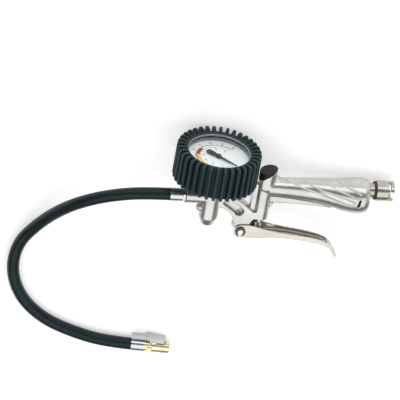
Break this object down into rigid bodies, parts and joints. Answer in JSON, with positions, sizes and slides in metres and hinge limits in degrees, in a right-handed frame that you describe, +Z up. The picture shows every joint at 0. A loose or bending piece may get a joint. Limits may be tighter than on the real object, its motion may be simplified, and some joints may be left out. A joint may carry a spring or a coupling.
{
  "type": "tyre inflator with gauge",
  "caption": "Hand-held tyre inflator: trigger valve body with ribbed rubber boot around a dial gauge, claw inlet, rubber hose and clip-on chuck.",
  "frame": {"origin": "centre of the tool's footprint (gauge, body, handle and coupling, without the hose and chuck) on the surface it lies on", "axes": "+X towards the inlet end of the handle, +Y the way the dial faces, +Z up from the surface the tool lies on"},
  "size_m": [0.4114, 0.3063, 0.095],
  "materials": {
    "satin_nickel": "satin nickel plate over die casting",
    "gauge_grey": "dark grey",
    "rim_grey": "dark grey satin",
    "lens": "clear",
    "dial_white": "white print ground",
    "brass": "turned",
    "boot_rubber": "moulded",
    "seal_rubber": "moulded",
    "zinc_steel": "zinc plated",
    "dark_steel": "phosphated",
    "chrome": "plated",
    "black_plastic": "moulded",
    "claw_steel": "zinc plated",
    "hose_rubber": "extruded",
    "pale_brass": "turned, lightly oxidised",
    "yellow_brass": "bright",
    "spring_steel": "wire",
    "lever_steel": "satin nickel plate",
    "pointer_black": "matt black",
    "clip_steel": "zinc plated"
  },
  "bodies": {
    "tool": {"body_casting": "satin_nickel", "gauge_case": "gauge_grey", "gauge_bezel": "rim_grey", "gauge_spacer": "rim_grey", "gauge_lens": "lens", "gauge_dial": "dial_white", "gauge_socket": "brass", "bourdon_tube": "brass", "movement_plates": "brass", "hairspring": "brass", "gauge_boot": "boot_rubber", "gauge_gasket": "seal_rubber", "pivot_pin": "zinc_steel", "pin_clip": "dark_steel", "hose_nipple": "zinc_steel", "hose_seal": "seal_rubber", "gun_ferrule": "chrome", "bleed_plug": "satin_nickel", "handle_inlay": "black_plastic", "valve_plug": "black_plastic", "valve_seat": "brass", "stem_oring": "seal_rubber", "stem_gland": "satin_nickel", "inlet_claw": "claw_steel", "claw_seal": "seal_rubber", "inlet_washer": "seal_rubber", "inlet_screen": "brass", "hose": "hose_rubber", "chuck_ferrule": "chrome", "chuck_body": "pale_brass", "chuck_tail": "brass", "chuck_seal": "seal_rubber", "chuck_depressor": "brass", "chuck_pin": "zinc_steel", "chuck_ring": "yellow_brass", "valve_spring": "spring_steel", "chuck_spring": "spring_steel"},
    "lever": {"trigger_lever": "lever_steel"},
    "stem": {"valve_stem": "zinc_steel", "poppet_seal": "seal_rubber"},
    "pointer": {"gauge_pointer": "pointer_black", "pointer_arbor": "brass"},
    "sector": {"sector_gear": "brass", "link_bar": "brass"},
    "clip": {"chuck_clip": "clip_steel"}
  },
  "joints": [
    {"name": "lever_squeeze", "type": "hinge", "parent": "tool", "child": "lever", "pos_m": [-0.03985, -0.0364, 0.04141], "axis": [0.1614, 0, 0.9869], "range_deg": [0, 12], "stiffness_Nm_per_rad": 4, "springref_deg": -5.73},
    {"name": "stem_lift", "type": "slide", "parent": "tool", "child": "stem", "axis": [0, 1, 0], "range_m": [0, 0.00434], "deforming": ["valve_spring"]},
    {"name": "pointer_turn", "type": "hinge", "parent": "tool", "child": "pointer", "pos_m": [-0.07725, 0.0529, 0.04753], "axis": [0, -1, 0], "range_deg": [0, 270]},
    {"name": "sector_turn", "type": "hinge", "parent": "tool", "child": "sector", "pos_m": [-0.06304, 0.0457, 0.04521], "axis": [0, 1, 0], "range_deg": [0, 54], "stiffness_Nm_per_rad": 0.005, "springref_deg": -11.46},
    {"name": "clip_press", "type": "hinge", "parent": "tool", "child": "clip", "pos_m": [-0.10806, -0.22458, 0.0078], "axis": [0, 0, 1], "range_deg": [0, 8], "stiffness_Nm_per_rad": 0.08, "springref_deg": -8.59, "deforming": ["chuck_spring"]}
  ],
  "couplings": [
    {"joint": "stem_lift", "follows": "lever_squeeze", "m_per_rad": 0.0207},
    {"joint": "pointer_turn", "follows": "sector_turn", "ratio": 5}
  ]
}
